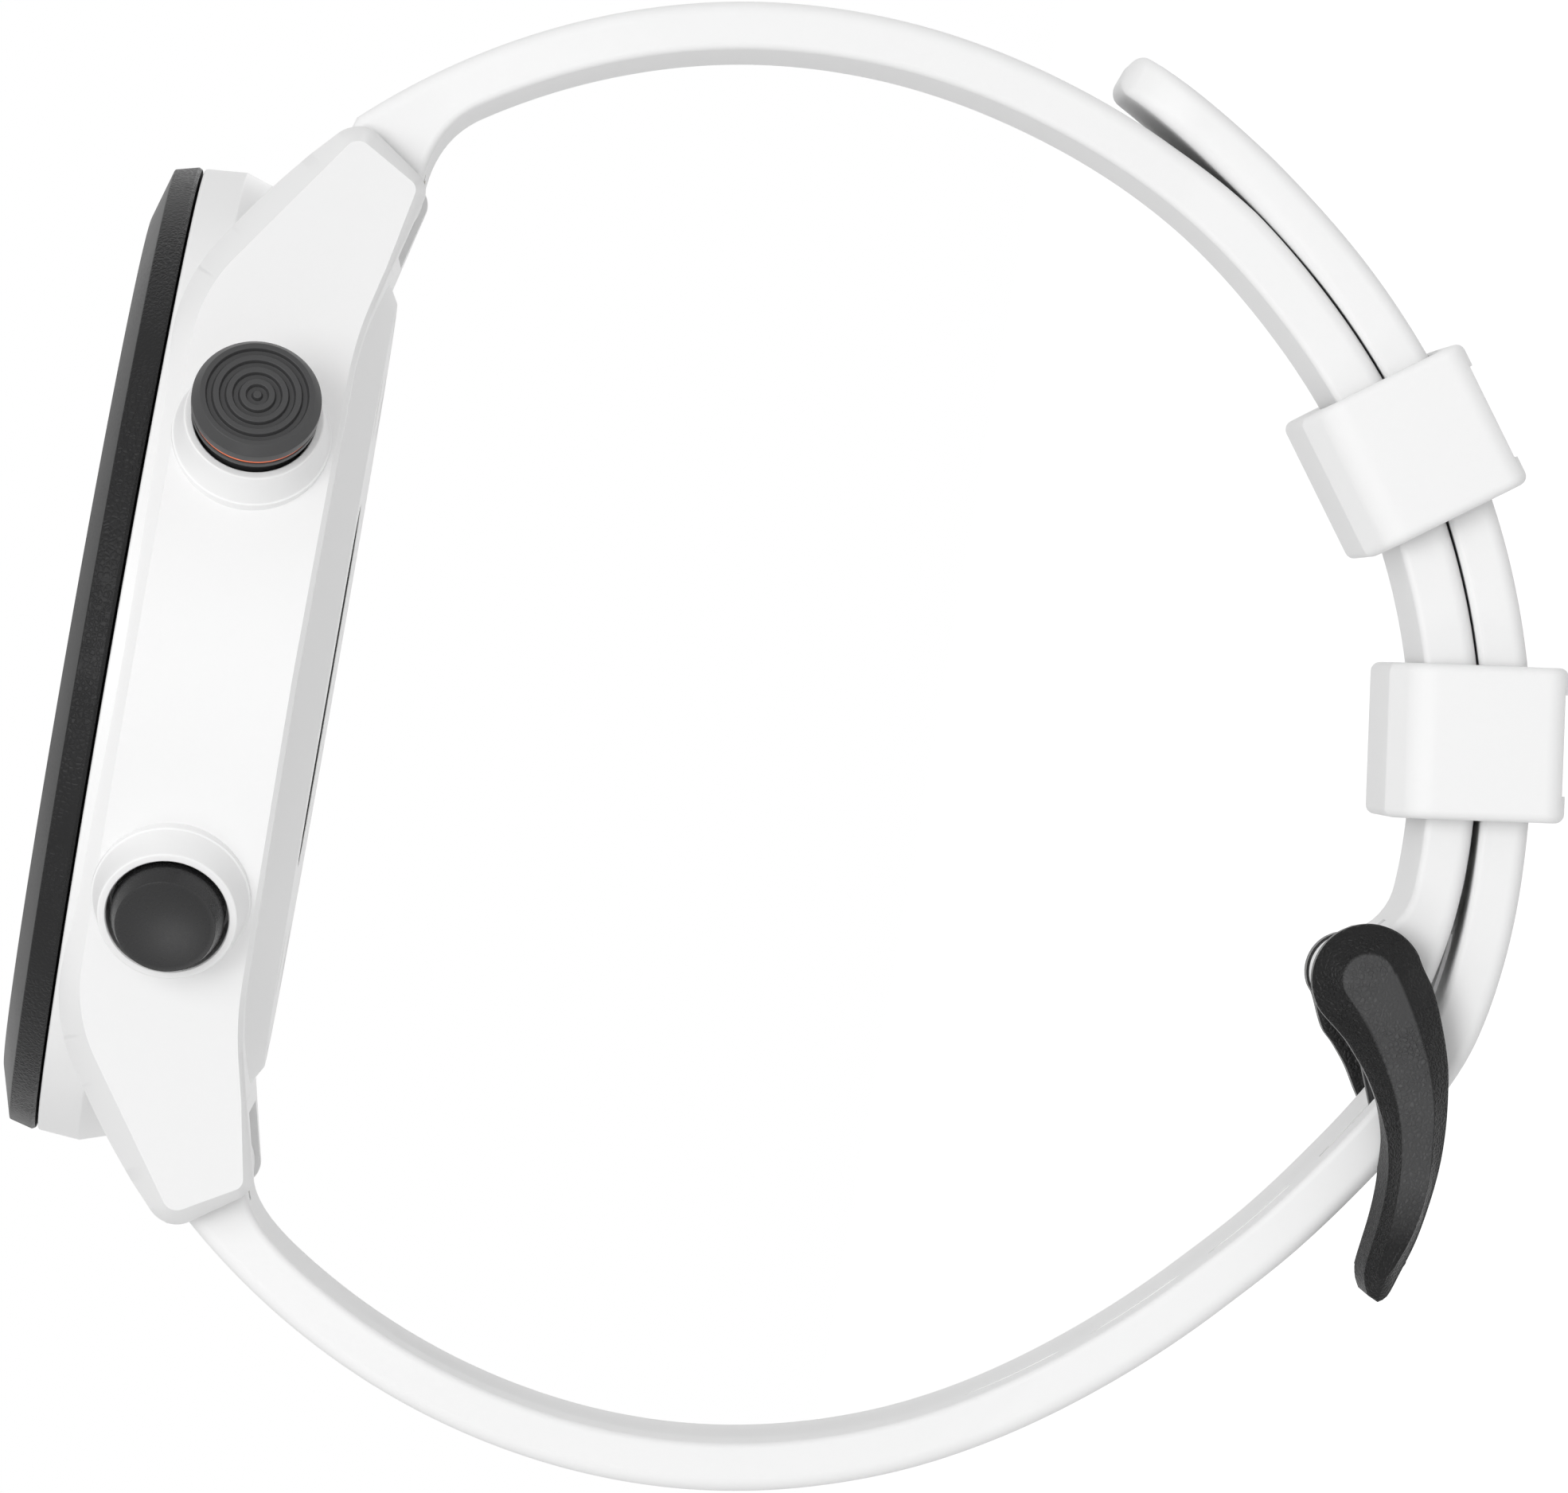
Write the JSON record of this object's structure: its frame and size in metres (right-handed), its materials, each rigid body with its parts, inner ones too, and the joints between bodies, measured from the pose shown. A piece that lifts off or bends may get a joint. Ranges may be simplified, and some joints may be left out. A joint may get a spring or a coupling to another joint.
{
  "type": "gps running watch",
  "caption": "Round GPS sports watch with side push buttons, dark bezel and lens, silicone strap, sliding keepers and a tang buckle, stored buckled into a closed loop.",
  "frame": {"origin": "middle of the case's flat back, where it lies on the wrist", "axes": "+Z out of the display, +Y towards 12 o'clock and +X towards 3 o'clock; the buckled strap hangs towards -Z"},
  "size_m": [0.05, 0.0665, 0.0664],
  "materials": {
    "white_polymer": "satin white moulding",
    "white_silicone": "soft matt white silicone",
    "black_polymer": "fine-grained black",
    "button_grey": "satin dark grey",
    "accent_orange": "satin orange-red",
    "lens_glass": "clear, polished",
    "display_dark": "dark display, off",
    "seal_rubber": "black rubber",
    "steel": "bright steel",
    "gold_contact": "plated contact",
    "board_green": "circuit board",
    "cell_foil": "foil pouch"
  },
  "bodies": {
    "watch": {"mid_case": "white_polymer", "back_cover": "white_polymer", "bezel": "black_polymer", "lens": "lens_glass", "lens_gasket": "seal_rubber", "bezel_gasket": "seal_rubber", "back_gasket": "seal_rubber", "display_panel": "display_dark", "display_carrier": "black_polymer", "gps_antenna": "steel", "main_board": "board_green", "shield_can": "steel", "battery": "cell_foil", "vibration_motor": "steel", "buzzer": "gold_contact", "contact_block": "black_polymer", "charge_pin_1": "gold_contact", "charge_pin_2": "gold_contact", "charge_pin_3": "gold_contact", "charge_pin_4": "gold_contact", "back_screw_1": "steel", "back_screw_2": "steel", "back_screw_3": "steel", "back_screw_4": "steel", "start_switch": "black_polymer", "back_switch": "black_polymer", "light_switch": "black_polymer", "up_switch": "black_polymer", "down_switch": "black_polymer", "strap_upper": "white_silicone", "strap_lower": "white_silicone", "spring_bar_upper": "steel", "spring_bar_lower": "steel"},
    "start": {"start_button": "button_grey", "start_accent_ring": "accent_orange", "start_seal": "seal_rubber", "start_clip": "steel"},
    "back": {"back_button": "button_grey", "back_seal": "seal_rubber", "back_clip": "steel"},
    "light": {"light_button": "button_grey", "light_seal": "seal_rubber", "light_clip": "steel"},
    "up": {"up_button": "button_grey", "up_seal": "seal_rubber", "up_clip": "steel"},
    "down": {"down_button": "button_grey", "down_seal": "seal_rubber", "down_clip": "steel"},
    "upper_keeper": {"keeper_upper": "white_silicone"},
    "lower_keeper": {"keeper_lower": "white_silicone"},
    "upper_release": {"release_lever_upper": "steel"},
    "lower_release": {"release_lever_lower": "steel"},
    "buckle": {"buckle_frame": "black_polymer", "buckle_bar": "steel"},
    "tongue": {"buckle_tongue": "steel"}
  },
  "joints": [
    {"name": "start_press", "type": "slide", "parent": "watch", "child": "start", "axis": [-0.891, -0.454, 0], "range_m": [0, 0.0005], "stiffness_N_per_m": 4000},
    {"name": "back_press", "type": "slide", "parent": "watch", "child": "back", "axis": [-0.891, 0.454, 0], "range_m": [0, 0.0005], "stiffness_N_per_m": 4000},
    {"name": "light_press", "type": "slide", "parent": "watch", "child": "light", "axis": [0.891, -0.454, 0], "range_m": [0, 0.0005], "stiffness_N_per_m": 4000},
    {"name": "up_press", "type": "slide", "parent": "watch", "child": "up", "axis": [1, 0, 0], "range_m": [0, 0.0005], "stiffness_N_per_m": 4000},
    {"name": "down_press", "type": "slide", "parent": "watch", "child": "down", "axis": [0.891, 0.454, 0], "range_m": [0, 0.0005], "stiffness_N_per_m": 4000},
    {"name": "upper_keeper_slide", "type": "hinge", "parent": "watch", "child": "upper_keeper", "pos_m": [0, 0.0005, -0.01861], "axis": [1, 0, 0], "range_deg": [-5, 8]},
    {"name": "lower_keeper_slide", "type": "hinge", "parent": "watch", "child": "lower_keeper", "pos_m": [0, 0.0005, -0.01861], "axis": [1, 0, 0], "range_deg": [-6, 4]},
    {"name": "upper_release_slide", "type": "slide", "parent": "watch", "child": "upper_release", "axis": [-1, 0, 0], "range_m": [0, 0.0012], "stiffness_N_per_m": 800},
    {"name": "lower_release_slide", "type": "slide", "parent": "watch", "child": "lower_release", "axis": [-1, 0, 0], "range_m": [0, 0.0012], "stiffness_N_per_m": 800},
    {"name": "buckle_swing", "type": "hinge", "parent": "watch", "child": "buckle", "pos_m": [0, -0.00493, -0.0476], "axis": [1, 0, 0], "range_deg": [-6, 0]},
    {"name": "tongue_swing", "type": "hinge", "parent": "buckle", "child": "tongue", "pos_m": [0, -0.00493, -0.0476], "axis": [1, 0, 0], "range_deg": [0, 6]}
  ]
}
